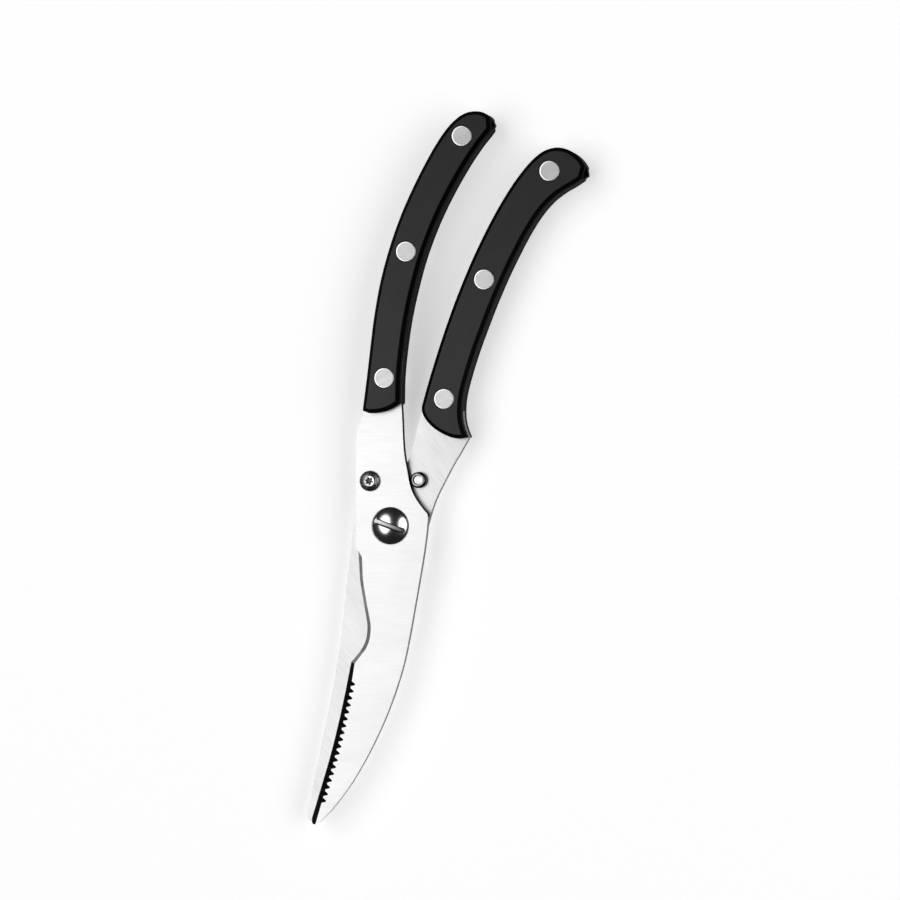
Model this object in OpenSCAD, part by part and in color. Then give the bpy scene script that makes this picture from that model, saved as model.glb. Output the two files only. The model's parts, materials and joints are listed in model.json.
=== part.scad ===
// Poultry shears: two crossed steel half-shears on a screw pivot, with riveted
// plastic scales on both full tangs, an opening spring shut in between the
// levers, a stop pin, and a closing latch that lies behind the back lever.
// They lie on the back handle with the blades towards -Y and the front face up.
// The outlines are laid out round the pivot, and the whole is then moved so
// that the origin is the bottom centre of its box.

/* [Blades and levers] */
// Thickness of each plate that a blade, lever and tang are cut from
plate_t = 3.5; // [3.2:0.1:3.8]
// Thickness of each plate at its blade tip
tip_t = 2.8; // [2.4:0.1:3.2]
// Gap between the two plates
plate_gap = 0.1; // [0.06:0.02:0.14]
// Width of the ground bevel beside the back blade's edge
bevel_w = 2; // [1.6:0.1:2.2]
// Thickness left square at a cutting edge
edge_land = 0.35; // [0.3:0.05:0.6]
// Number of gullets in the front blade's edge
gullet_count = 18; // [8:1:18]
// Distance from one gullet to the next
gullet_pitch = 2.5; // [2.2:0.1:2.6]
// Full angle of the conical stone that grinds each gullet
gullet_angle = 48; // [44:2:56]
// How far each gullet reaches past the bevel on the outer face
gullet_reach = 1.35; // [1.1:0.05:1.5]
// How far the stone's point stays above the outer face, which rounds the gullets
gullet_lift = 0.45; // [0.2:0.05:0.6]

/* [Handles] */
// Thickness of each handle scale
scale_t = 5; // [4.4:0.2:5.4]
// Width of the chamfer round a scale's outer face
scale_chamfer = 1.2; // [0.8:0.1:1.6]
// Diameter of a handle rivet's head
rivet_head_d = 7; // [6:0.5:7.5]
// Outer diameter of a rivet's sleeve
rivet_sleeve_d = 4.2; // [3.8:0.1:4.6]

/* [Pivot] */
// Diameter of the pivot screw's domed head
pivot_head_d = 13.2; // [12:0.2:14]
// Height of the pivot screw's dome
pivot_dome_h = 2.2; // [1.8:0.1:3.2]
// Diameter of the shoulder that the front blade turns on
pivot_shoulder_d = 8; // [7.4:0.2:8.4]
// Diameter of the pivot screw's threaded end
pivot_thread_d = 6; // [5:0.5:6]
// Width across the flats of the pivot nut
pivot_nut_af = 10; // [10:0.5:11]

/* [Spring, stop and latch] */
// Diameter of the spring wire
wire_d = 1.4; // [1.2:0.1:1.5]
// Mean radius of the spring's coil
coil_r = 6.8; // [6.6:0.1:7]
// Diameter of the stop pin's head
stop_head_d = 5.7; // [5.2:0.1:5.7]
// Diameter of the stop pin's tail, which the latch hooks
stop_tail_d = 3.4; // [3:0.1:3.6]
// Diameter of the latch screw's head
latch_head_d = 7.2; // [6.6:0.2:7.6]
// Diameter of the spacer bush round the latch screw
bush_d = 5.5; // [5.2:0.1:5.7]
// Thickness of the latch lever
latch_t = 1.5; // [1.2:0.1:1.5]
// Angle that the latch swings through to let go
latch_swing = 74; // [70:1:76]

/* [Hidden] */

steel = "gainsboro";
bright_steel = "whitesmoke";
black_plastic = "#2b2b2d";
dark_steel = "dimgray";

// Clearances
run_fit = 0.03;
seat_fit = 0.02;
face_gap = 0.05;
round_fn = 96;

// Levels through the thickness, with the plates' parting plane at zero
front_in = plate_gap / 2;
front_out = front_in + plate_t;
back_in = -plate_gap / 2;
back_out = back_in - plate_t;
floor_z = back_out - scale_t;

// Places of the fasteners from the pivot
stop_at = [5.4, 18];
latch_at = [-10.9, 13.4];
front_rivets_at = [[-8.7, 138.3], [-17.8, 94.5], [-14.2, 49.8]];
back_rivets_at = [[23.8, 134], [10.9, 91.8], [7.6, 47.9]];

// Curve through a list of points, with a few steps from each to the next
function bend(a, b, c, d, t) =
    0.5 * (2 * b + (c - a) * t + (2 * a - 5 * b + 4 * c - d) * t * t
    + (3 * b - a - 3 * c + d) * t * t * t);
function smooth(p, steps = 4) = [
    for (i = [0:len(p) - 2], k = [0:steps - 1])
        bend(p[max(i - 1, 0)], p[i], p[i + 1], p[min(i + 2, len(p) - 1)], k / steps),
    p[len(p) - 1]
];
function arc(r, from, to, steps) = [
    for (k = [0:steps]) let (a = from + (to - from) * k / steps) r * [cos(a), sin(a)]
];
function tail(p) = [for (i = [1:len(p) - 1]) p[i]];
function along(p, axis) = [for (q = p) q[axis]];
function unit(v) = v / norm(v);

// Front handle, from its lower left corner up and round to its lower right
front_side = smooth([
    [-19, 36.8], [-20.4, 48], [-22, 59.4], [-23.4, 70.9], [-24.2, 82.8], [-24, 94.7],
    [-22.9, 106.6], [-20.7, 119], [-17.8, 130.8], [-15.2, 138.4], [-12.5, 143.4],
    [-9.2, 146.7], [-5, 148.1], [-1.6, 147.5], [1, 144.9]]);
front_inside = smooth([
    [1, 144.9], [0.1, 142.2], [-2.4, 136.6], [-5.3, 128.5], [-8.3, 117.6], [-10.5, 106.6],
    [-11.8, 95.2], [-12.1, 83.8], [-11.7, 72.4], [-10.5, 60.9], [-8.9, 51], [-6.9, 42.6]]);
front_tang = concat(front_side, tail(front_inside));
front_scale_end = smooth([
    [-6.9, 42.6], [-9, 40.3], [-12, 38.2], [-15.3, 36.9], [-17.6, 36.4], [-19, 36.8]]);

// Front lever and blade, on round from there and back to the lower left corner
front_lever_right = smooth([
    [-6.9, 42.6], [-5, 36.6], [-3.1, 30.3], [-1.2, 25], [0.9, 20.5], [2.6, 16.8],
    [4.4, 13.8], [6.8, 11.2], [9.5, 9], [11.7, 7.5]]);
front_spine = smooth([
    [12.3, 6.3], [13.3, 0], [14.2, -8], [14.9, -16], [15.7, -26], [16.4, -36],
    [16.8, -45], [16.5, -54], [15.5, -64], [13.8, -74], [11.7, -83], [9, -92],
    [6, -99.3], [3.5, -104.4], [1.9, -107]]);
front_tip = smooth([[1.9, -107], [0.6, -108.5], [-0.5, -109], [-1.4, -108.6], [-1.9, -107.2]]);

// Cutting edge from tip to heel, and where its bevel meets the outer face
front_edge = smooth([
    [-1.9, -107.2], [-1.67, -102], [-1.38, -95], [-1.1, -87.5], [-0.97, -80.5],
    [-1.05, -73.5], [-1.22, -66.8], [-1.5, -60], [-1.8, -54.9], [-2.05, -50.2]]);
front_edge_brow = smooth([
    [0.98, -107.2], [1.07, -102], [1.24, -95], [1.48, -87.5], [1.54, -80.5],
    [1.35, -73.5], [1.1, -66.8], [0.76, -60], [0.4, -54.9], [-0.1, -50.2]]);

// Bone notch from the heel up to the lever, and where its bevel meets the face
front_notch = smooth([
    [-2.05, -50.2], [-0.6, -47.3], [0.25, -45.2], [0.8, -43.3], [1.08, -41.3],
    [0.95, -39.4], [0.45, -36.8], [-0.5, -34.2], [-3.35, -28], [-6.2, -21.5],
    [-8.1, -15.6], [-8.85, -13.4], [-9.9, -10.9]]);
front_notch_brow = smooth([
    [-0.1, -50.2], [1.37, -46.6], [2.3, -44.5], [2.75, -42.6], [2.9, -40.7],
    [2.75, -38.9], [2.2, -36.2], [1.25, -33.8], [-1.8, -27.4], [-4.6, -20.9],
    [-6.4, -15.2], [-7.3, -12.9], [-9.7, -10.8]]);
front_lever_left = smooth([
    [-19.2, 25.2], [-19.8, 28], [-19.8, 30.6], [-19.2, 34], [-19, 36.8]]);
front_outline = concat(
    front_tang, tail(front_lever_right), front_spine, tail(front_tip), tail(front_edge),
    tail(front_notch),
    front_lever_left);

// Back handle, from its lower left corner up and round to its lower right
back_inside = smooth([
    [0.4, 43.2], [0.5, 50], [0.9, 59.9], [1.7, 71.9], [2.9, 83.8], [4.6, 95.7], [6.8, 107.1],
    [9.4, 117.6], [12.4, 126.9], [15.6, 134.2], [18.6, 138.9], [21.6, 141.5],
    [25.1, 142.8], [29, 142.6], [32.6, 141.1], [35.4, 138.6], [36.8, 135.8]]);
back_side = smooth([
    [36.8, 135.8], [33.4, 131.9], [29.9, 128.5], [26.4, 124], [23.5, 118.1],
    [21.1, 110.6], [19.1, 102.2], [17.4, 93.7], [16, 84.8], [14.9, 75.8], [14, 66.9],
    [13.5, 57.9], [13.6, 50], [14.8, 44], [16.6, 40], [18.8, 36.9]]);
back_tang = concat(back_inside, tail(back_side));
back_scale_end = smooth([
    [18.8, 36.9], [16.8, 35.9], [13.6, 35.5], [9.8, 36], [6.2, 37.2], [3.1, 39.1],
    [1.1, 41.3], [0.4, 43.2]]);

// Back lever and blade, with a hip that keeps clear of the latch bush
back_lever_right = smooth([
    [18.8, 36.9], [17.3, 31.3], [15.7, 25.9], [14.3, 20], [13.1, 14.6], [12.4, 9],
    [12.2, 2], [11.8, -6], [10.8, -14]]);
back_tip = smooth([[-0.9, -107.5], [-1.8, -108.6], [-3, -108.2], [-4, -106.6]]);
back_spine = smooth([
    [-4, -106.6], [-4.4, -99], [-4.9, -88], [-5.5, -75], [-6.2, -61], [-7.4, -47],
    [-8.9, -35], [-10.5, -24.5], [-11.9, -14], [-13.1, -6], [-13.6, 0]]);
hip_r = 13.9;
back_hip = arc(hip_r, 176, 130, 10);
back_lever_left = smooth([
    hip_r * [cos(130), sin(130)], [-6.6, 15], [-3.4, 18.4], [-1, 21.6], [0.1, 25.2],
    [0.1, 33], [0.1, 39], [0.4, 43.2]]);
back_outline = concat(
    back_tang, tail(back_lever_right), back_tip, tail(back_spine), back_hip,
    tail(back_lever_left));

// Bottom centre of the whole object's box
both = concat(front_outline, back_outline);
origin = [
    (min(along(both, 0)) + max(along(both, 0))) / 2,
    (min(along(both, 1)) + max(along(both, 1))) / 2,
    floor_z];
echo(origin = origin, pivot = -origin, latch = concat(latch_at, [0]) - origin);
echo(stop = concat(stop_at, [0]) - origin, floor_z = floor_z);

module placed(paint) {
    color(paint) translate(-origin) children();
}

// A round bar or bore from one level to another
module rod(d, from, to) {
    translate([0, 0, from]) cylinder(d = d, h = to - from, $fn = round_fn);
}

module at(place) {
    translate([place[0], place[1], 0]) children();
}

// ---- plates ------------------------------------------------------------

taper_from_y = -30;
tip_y = -109;

// Everything above a plate's sloping outer face, from the taper's start on
module taper_cut() {
    slope = atan((plate_t - tip_t) / (taper_from_y - tip_y));
    translate([-40, taper_from_y, front_out])
        rotate([slope, 0, 0])
            translate([0, -120, 0]) cube([80, 120, 10]);
}

// Wedge that grinds a bevel along a straight edge, on the outer face's side
module edge_bevel(heel, toe, beyond) {
    run = toe - heel;
    rise = plate_t - edge_land;
    translate([heel[0], heel[1], front_in + edge_land])
        rotate([0, 0, atan2(run[1], run[0])])
            rotate([90, 0, 90])
                linear_extrude(norm(run) + beyond)
                    polygon([[0, 0], [bevel_w * 2, rise * 2], [-9, rise * 2], [-9, 0]]);
}

// Tool that grinds a bevel between a curved edge and its brow on the outer face.
// It fills everything to the left of them, from its first point to its last.
module curved_bevel(edge, brow) {
    n = len(edge);
    low = front_in + edge_land;
    over = 0.2;
    reach = 1 + over / (front_out - low);
    first_away = [-12, 0];
    last_away = [-14, 3];
    foot = concat([edge[0] + first_away], edge, [edge[n - 1] + last_away]);
    top = [for (i = [0:n - 1]) edge[i] + (brow[i] - edge[i]) * reach];
    rim = concat([top[0] + first_away], top, [top[n - 1] + last_away]);
    m = n + 2;
    polyhedron(
        points = concat(
            [for (q = foot) [q[0], q[1], low]], [for (q = rim) [q[0], q[1], front_out + over]]),
        faces = concat(
            [[for (i = [0:m - 1]) i]],
            [[for (i = [m - 1:-1:0]) m + i]],
            [for (i = [0:m - 1]) [i, m + i, (i + 1) % m]],
            [for (i = [0:m - 1]) [m + i, m + (i + 1) % m, (i + 1) % m]]));
}

first_gullet_y = -57.3;

// Height of the front blade's outer face at a place along it
function face_z(y) = front_out - (y < taper_from_y
    ? (plate_t - tip_t) * (taper_from_y - y) / (taper_from_y - tip_y) : 0);

// Gullets ground by a conical stone: each narrows to a rounded end on the outer
// face, and runs out just over the cutting edge
module gullets() {
    half = gullet_angle / 2;
    for (i = [0:gullet_count - 1]) {
        y = first_gullet_y - i * gullet_pitch;
        foot = lookup(y, [for (p = front_edge) [p[1], p[0]]]);
        brow = lookup(y, [for (p = front_edge_brow) [p[1], p[0]]]);
        drop = face_z(y) - front_in - edge_land;
        face_brow = foot + (brow - foot) * drop / (plate_t - edge_land);
        run = face_brow + gullet_reach - foot;
        fall = atan2(drop, run);
        back_off = gullet_lift / tan(fall);
        translate([face_brow + gullet_reach + back_off, y, face_z(y) + gullet_lift])
            rotate([0, -90 - fall + half, 0])
                cylinder(r1 = 0.02, r2 = 0.02 + 7 * tan(half), h = 7, $fn = 48);
    }
}

coil_clear = 0.4;
pocket_depth = 2.25;
leg_reach = 13.2;
back_leg_angle = 73.3;
front_leg_angle = 129.1;

// Ring pocket for the spring's coil and a straight channel for its leg
module spring_pocket(from, leg_angle) {
    inner = coil_r - wire_d / 2 - coil_clear;
    outer = coil_r + wire_d / 2 + coil_clear;
    translate([0, 0, from]) difference() {
        union() {
            cylinder(r = outer, h = pocket_depth, $fn = round_fn);
            rotate([0, 0, leg_angle]) translate([0, -wire_d / 2 - 0.2, 0])
                cube([leg_reach + 0.4, wire_d + 0.4, pocket_depth]);
        }
        translate([0, 0, -1]) cylinder(r = inner, h = pocket_depth + 2, $fn = round_fn);
    }
}

module front_blade() {
    placed(steel) difference() {
        translate([0, 0, front_in]) linear_extrude(plate_t) polygon(front_outline);
        taper_cut();
        curved_bevel(
            concat([[-2.1, -111]], front_edge, tail(front_notch)),
            concat([[0.8, -111]], front_edge_brow, tail(front_notch_brow)));
        gullets();
        rod(pivot_shoulder_d + 2 * run_fit, -1, 5);
        spring_pocket(front_in - 0.01, front_leg_angle);
        at(latch_at) rod(latch_shank_d + 2 * seat_fit, -1, 5);
        for (p = front_rivets_at) at(p) rod(rivet_sleeve_d + 2 * seat_fit, -1, 5);
    }
}

back_heel = [10.8, -14];
back_toe = [-0.8, -107.4];

module back_blade() {
    placed(steel) difference() {
        translate([0, 0, back_out]) linear_extrude(plate_t) polygon(back_outline);
        mirror([0, 0, 1]) {
            taper_cut();
            mirror([1, 0, 0]) edge_bevel([-back_heel[0], back_heel[1]], [-back_toe[0], back_toe[1]], 5);
        }
        rod(pivot_thread_d + 2 * seat_fit, -5, 1);
        mirror([0, 0, 1]) mirror([1, 0, 0])
            spring_pocket(front_in - 0.01, 180 - back_leg_angle);
        at(stop_at) rod(stop_shank_d + 2 * seat_fit, -5, 1);
        for (p = back_rivets_at) at(p) rod(rivet_sleeve_d + 2 * seat_fit, -5, 1);
    }
}

// ---- handle scales and rivets ------------------------------------------

// Ring of points moved in from a closed outline that runs clockwise, mitred
function inward(a, b) = let (run = unit(b - a)) [run[1], -run[0]];
function inset(p, by) = [
    for (i = [0:len(p) - 1])
        let (
            before = inward(p[(i + len(p) - 1) % len(p)], p[i]),
            after = inward(p[i], p[(i + 1) % len(p)]))
                p[i] + by * (before + after) / (1 + before * after)
];
// A closed outline without the points that crowd its sharp corners
function open_corners(p, corners, reach) = [
    for (q = p)
        if (min([for (c = corners) norm(q - c) < 0.01 ? reach : norm(q - c)]) >= reach) q
];
function ring(p, z) = [for (q = p) [q[0], q[1], z]];

// Three-cornered ring that cuts a chamfer all round an outline's top edge
module chamfer_ring(outline, top, cut) {
    n = len(outline);
    over = 0.5;
    points = concat(
        ring(inset(outline, -over), top - cut - over),
        ring(inset(outline, cut + over), top + over),
        ring(inset(outline, -over), top + over));
    polyhedron(points, [
        for (level = [0:2], i = [0:n - 1])
            let (j = (i + 1) % n, next = (level + 1) % 3)
                [level * n + i, next * n + i, next * n + j, level * n + j]],
        convexity = 8);
}

rivet_head_t = 1.2;
rivet_recess = 0.05;
rivet_pin_d = 2.6;

// Scale above the parting plane of its handle, with rivet holes and their seats
module scale_with_holes(outline, from, rivets) {
    difference() {
        translate([0, 0, from]) linear_extrude(scale_t) polygon(outline);
        chamfer_ring(outline, from + scale_t, scale_chamfer);
        for (p = rivets) at(p) {
            rod(rivet_sleeve_d + 2 * seat_fit, from - 1, from + scale_t + 1);
            rod(rivet_head_d + 2 * seat_fit, from + scale_t - rivet_head_t - rivet_recess,
                from + scale_t + 1);
        }
    }
}

corner_reach = 2.3;
front_corners = [[-19, 36.8], [-6.9, 42.6], [1, 145.5]];
back_corners = [[18.8, 36.9], [36.8, 136.4]];
function without_last(p) = [for (i = [0:len(p) - 2]) p[i]];
front_scale = open_corners(
    concat(front_tang, tail(without_last(front_scale_end))), front_corners, corner_reach);
back_scale = open_corners(
    concat(back_tang, tail(without_last(back_scale_end))), back_corners, corner_reach);

// A scale for the underside is the upper one turned over about the plate
module under(middle) {
    translate([0, 0, 2 * middle]) mirror([0, 0, 1]) children();
}

front_mid = (front_in + front_out) / 2;
back_mid = (back_in + back_out) / 2;

module front_handle_top_scale() {
    placed(black_plastic) scale_with_holes(front_scale, front_out, front_rivets_at);
}

module front_handle_under_scale() {
    placed(black_plastic) under(front_mid)
        scale_with_holes(front_scale, front_out, front_rivets_at);
}

module back_handle_top_scale() {
    placed(black_plastic) scale_with_holes(back_scale, back_in, back_rivets_at);
}

module back_handle_under_scale() {
    placed(black_plastic) under(back_mid)
        scale_with_holes(back_scale, back_in, back_rivets_at);
}

rivet_crown = 0.3;

// Flat head with a small rounded rim, its top at a given level
module rivet_head(top) {
    r = rivet_head_d / 2;
    translate([0, 0, top - rivet_head_t]) rotate_extrude($fn = round_fn)
        polygon(concat(
            [[0, 0], [r, 0]],
            [for (a = [0:15:90]) [r - rivet_crown, rivet_head_t - rivet_crown] + rivet_crown * [cos(a), sin(a)]],
            [[0, rivet_head_t]]));
}

// Solid half of a rivet: the head in the top scale and the pin below it
module rivet_solid(mid) {
    top = mid + plate_t / 2 + scale_t - rivet_recess;
    rivet_head(top);
    rod(rivet_pin_d, 2 * mid - top + rivet_head_t + 0.2, top - rivet_head_t + 0.1);
}

// Hollow half of a rivet: the head in the under scale and the sleeve above it
module rivet_hollow(mid) {
    top = mid + plate_t / 2 + scale_t - rivet_recess;
    difference() {
        union() {
            under(mid) rivet_head(top);
            rod(rivet_sleeve_d, 2 * mid - top + rivet_head_t - 0.1, top - rivet_head_t);
        }
        rod(rivet_pin_d + 2 * seat_fit, 2 * mid - top + rivet_head_t, top);
    }
}

module front_rivet_head(i) {
    placed(bright_steel) at(front_rivets_at[i - 1]) rivet_solid(front_mid);
}

module front_rivet_sleeve(i) {
    placed(bright_steel) at(front_rivets_at[i - 1]) rivet_hollow(front_mid);
}

module back_rivet_head(i) {
    placed(bright_steel) at(back_rivets_at[i - 1]) rivet_solid(back_mid);
}

module back_rivet_sleeve(i) {
    placed(bright_steel) at(back_rivets_at[i - 1]) rivet_hollow(back_mid);
}

// ---- pivot -------------------------------------------------------------

pivot_head_z = front_out + face_gap;
pivot_rim_h = 0.5;
slot_w = 1.25;
slot_depth = 1.5;
slot_turn = -5.5;
pivot_washer_t = 0.8;
pivot_nut_t = 3.2;
pivot_end_z = back_out - pivot_washer_t - pivot_nut_t - 0.4;

// Round head: a short straight rim and a spherical dome, standing on zero
module domed_head(d, rim, dome) {
    half = d / 2;
    ball = (half * half + dome * dome) / (2 * dome);
    span = asin(half / ball);
    rotate_extrude($fn = round_fn)
        polygon(concat(
            [[0, 0], [half, 0]],
            [for (k = [0:16]) let (a = span * (1 - k / 16))
                [ball * sin(a), rim + dome - ball + ball * cos(a)]]));
}

module pivot_screw() {
    placed(bright_steel) {
        difference() {
            union() {
                translate([0, 0, pivot_head_z]) domed_head(pivot_head_d, pivot_rim_h, pivot_dome_h);
                rod(pivot_shoulder_d, back_in, pivot_head_z + 0.1);
                rod(pivot_thread_d, pivot_end_z, back_in + 0.1);
            }
            rotate([0, 0, slot_turn])
                translate([-10, -slot_w / 2, pivot_head_z + pivot_rim_h + pivot_dome_h - slot_depth])
                    cube([20, slot_w, 5]);
        }
    }
}

module pivot_spring_washer() {
    placed(dark_steel) difference() {
        rod(10.8, back_out - pivot_washer_t, back_out);
        rod(pivot_thread_d + 0.4, back_out - 2, back_out + 1);
        translate([3, -0.4, back_out - 2]) cube([4, 0.8, 4]);
    }
}

// Hexagon nut of a given width, bore and place through the thickness
module hex_nut(af, bore, top, height) {
    difference() {
        intersection() {
            translate([0, 0, top - height]) cylinder(d = af / cos(30), h = height, $fn = 6);
            translate([0, 0, top - height - 0.01])
                rotate_extrude($fn = round_fn)
                    polygon([
                        [0, 0], [af / 2 - 0.1, 0], [af / 2 + 0.9, 0.6],
                        [af / 2 + 0.9, height + 0.1], [0, height + 0.1]]);
        }
        rod(bore, top - height - 1, top + 1);
    }
}

module pivot_nut() {
    placed(bright_steel)
        hex_nut(pivot_nut_af, pivot_thread_d + 2 * seat_fit, back_out - pivot_washer_t, pivot_nut_t);
}

// ---- opening spring ----------------------------------------------------

spring_turns = 2 - (front_leg_angle - back_leg_angle) / 360;
coil_z = front_in + pocket_depth - wire_d / 2 - 0.05;
coil_steps = 44;
wire_sides = 8;

// The wire's path: a leg in the back lever, the coil, a leg in the front lever
coil_path = [
    for (k = [0:coil_steps])
        let (a = back_leg_angle - 360 * spring_turns * k / coil_steps)
            [coil_r * cos(a), coil_r * sin(a), coil_z * (2 * k / coil_steps - 1)]];
function leg_end(angle, z) = [leg_reach * cos(angle), leg_reach * sin(angle), z];
function leg_mid(angle, z, turn) =
    [(coil_r + 1.1) * cos(angle + turn), (coil_r + 1.1) * sin(angle + turn), z];
spring_path = concat(
    [leg_end(back_leg_angle, -coil_z), leg_mid(back_leg_angle, -coil_z, 2)],
    [for (k = [1:coil_steps - 1]) coil_path[k]],
    [leg_mid(front_leg_angle, coil_z, -2), leg_end(front_leg_angle, coil_z)]);

// Tube of a round section swept along a path that never runs straight up
module swept_wire(path, d, sides) {
    n = len(path);
    function heading(i) = unit(path[min(i + 1, n - 1)] - path[max(i - 1, 0)]);
    points = [
        for (i = [0:n - 1])
            let (t = heading(i), u = unit(cross(t, [0, 0, 1])), v = cross(u, t))
                for (k = [0:sides - 1])
                    let (a = 360 * k / sides) path[i] + d / 2 * (cos(a) * u + sin(a) * v)];
    walls = [
        for (i = [0:n - 2], k = [0:sides - 1])
            let (j = (k + 1) % sides)
                [i * sides + k, i * sides + j, (i + 1) * sides + j, (i + 1) * sides + k]];
    polyhedron(points, concat(
        walls,
        [[for (k = [sides - 1:-1:0]) k]],
        [[for (k = [0:sides - 1]) (n - 1) * sides + k]]), convexity = 8);
}

module opening_spring() {
    placed(dark_steel) swept_wire(spring_path, wire_d, wire_sides);
}

// ---- stop pin ----------------------------------------------------------

stop_shank_d = 4;
stop_head_z = 2.6;
stop_tail_len = 1.9;
stop_flange_t = 0.8;
stop_flange_d = 5.2;
stop_rim = 0.8;
stop_eye_d = 2.8;

module stop_pin() {
    r = stop_head_d / 2;
    placed(dark_steel) at(stop_at) {
        difference() {
            rotate_extrude($fn = round_fn)
                polygon(concat(
                    [[0, back_in], [r, back_in]],
                    [for (a = [0:15:90]) [r - stop_rim, stop_head_z - stop_rim] + stop_rim * [cos(a), sin(a)]],
                    [[0, stop_head_z]]));
            translate([0, 0, stop_head_z - 0.25]) cylinder(d = stop_eye_d, h = 1, $fn = round_fn);
        }
        rod(stop_shank_d, back_out, back_in + 0.1);
        rod(stop_tail_d, back_out - stop_tail_len, back_out + 0.1);
        rod(stop_flange_d, back_out - stop_tail_len - stop_flange_t, back_out - stop_tail_len);
    }
}

// ---- latch -------------------------------------------------------------

latch_shank_d = 4;
latch_reach = norm(stop_at - latch_at);
latch_hooked_angle = atan2(stop_at[1] - latch_at[1], stop_at[0] - latch_at[0]);
latch_top = back_out - 0.15;
latch_floor = latch_top - latch_t;
latch_eye_r = 4.8;
latch_washer_t = 0.6;
latch_nut_af = 7;
latch_nut_t = 2;
latch_end_z = latch_floor - face_gap - latch_washer_t - latch_nut_t - 0.3;
hook_gap = 0.12;
lip_w = 2.5;
lip_from = -13;
lip_to = 17;
tab_drop = 4;
tab_len = 6.5;

module latch_screw() {
    placed(dark_steel) at(latch_at) difference() {
        union() {
            translate([0, 0, front_out]) domed_head(latch_head_d, 0.9, 1.2);
            rod(latch_shank_d, latch_end_z, front_out + 0.1);
        }
        // six-lobed socket: a round well with six scallops round its wall
        translate([0, 0, front_out + 0.7]) {
            cylinder(d = 2.4, h = 3, $fn = 36);
            for (k = [0:5]) rotate([0, 0, 60 * k]) translate([1.2, 0, 0]) cylinder(d = 0.8, h = 3, $fn = 24);
        }
    }
}

module latch_bush() {
    placed(dark_steel) at(latch_at) difference() {
        rod(bush_d, latch_top + face_gap, front_in);
        rod(latch_shank_d + 2 * seat_fit, latch_top - 1, front_in + 1);
    }
}

// The latch lies along +X from its screw, with the hook's mouth towards -Y
hook_half = stop_tail_d / 2 + hook_gap;
lip_r = latch_reach + hook_half + lip_w;
latch_outline = concat(
    [[0, -4.4], [8, -4]],
    arc(latch_reach - hook_half, lip_from, 0, 4),
    tail([for (q = arc(hook_half, 180, 0, 10)) [latch_reach, 0] + q]),
    tail(arc(latch_reach + hook_half, 0, lip_from, 4)),
    arc(lip_r, lip_from + 2, lip_to, 8),
    [[13.4, 5.4], [9, 4.5], [0, 4.4]]);

module latch_shape() {
    difference() {
        union() {
            rod(2 * latch_eye_r, latch_floor, latch_top);
            translate([0, 0, latch_floor]) linear_extrude(latch_t) polygon(latch_outline);
            rotate([0, 0, lip_to]) translate([lip_r - tab_len - 0.2, -1.4, latch_top - tab_drop])
                cube([tab_len, latch_t, tab_drop]);
        }
        rod(latch_shank_d + 2 * run_fit, latch_floor - 1, latch_top + 1);
    }
}

module latch_lever() {
    placed(steel) at(latch_at)
        rotate([0, 0, latch_hooked_angle + latch_swing]) latch_shape();
}

module latch_washer() {
    placed(dark_steel) at(latch_at) difference() {
        rod(8.4, latch_floor - face_gap - latch_washer_t, latch_floor - face_gap);
        rod(latch_shank_d + 2 * seat_fit, latch_floor - 3, latch_floor + 1);
    }
}

module latch_nut() {
    placed(dark_steel) at(latch_at)
        hex_nut(latch_nut_af, latch_shank_d + 2 * seat_fit,
            latch_floor - face_gap - latch_washer_t, latch_nut_t);
}

front_blade();
front_handle_top_scale();
front_handle_under_scale();
front_rivet_head(1);  // front_rivet_head_1
front_rivet_sleeve(1);  // front_rivet_sleeve_1
front_rivet_head(2);  // front_rivet_head_2
front_rivet_sleeve(2);  // front_rivet_sleeve_2
front_rivet_head(3);  // front_rivet_head_3
front_rivet_sleeve(3);  // front_rivet_sleeve_3
back_blade();
back_handle_top_scale();
back_handle_under_scale();
back_rivet_head(1);  // back_rivet_head_1
back_rivet_sleeve(1);  // back_rivet_sleeve_1
back_rivet_head(2);  // back_rivet_head_2
back_rivet_sleeve(2);  // back_rivet_sleeve_2
back_rivet_head(3);  // back_rivet_head_3
back_rivet_sleeve(3);  // back_rivet_sleeve_3
pivot_screw();
pivot_spring_washer();
pivot_nut();
opening_spring();
stop_pin();
latch_screw();
latch_bush();
latch_lever();
latch_washer();
latch_nut();
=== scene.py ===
"""Poultry shears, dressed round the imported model.

The frame holds every piece at its size and place. Blades, scales and the latch
are finished copies of their nodes: merged, with their edges rounded as a
grinder or a mould leaves them. Turned pieces are spun from a profile as on a
lathe, and cut and drilled afterwards.
"""

import json
import logging
import math
from contextlib import contextmanager
from dataclasses import dataclass
from enum import Enum, IntEnum
from typing import Callable, Iterator, Sequence

import bmesh
import bpy
from mathutils import Matrix, Quaternion, Vector


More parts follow.
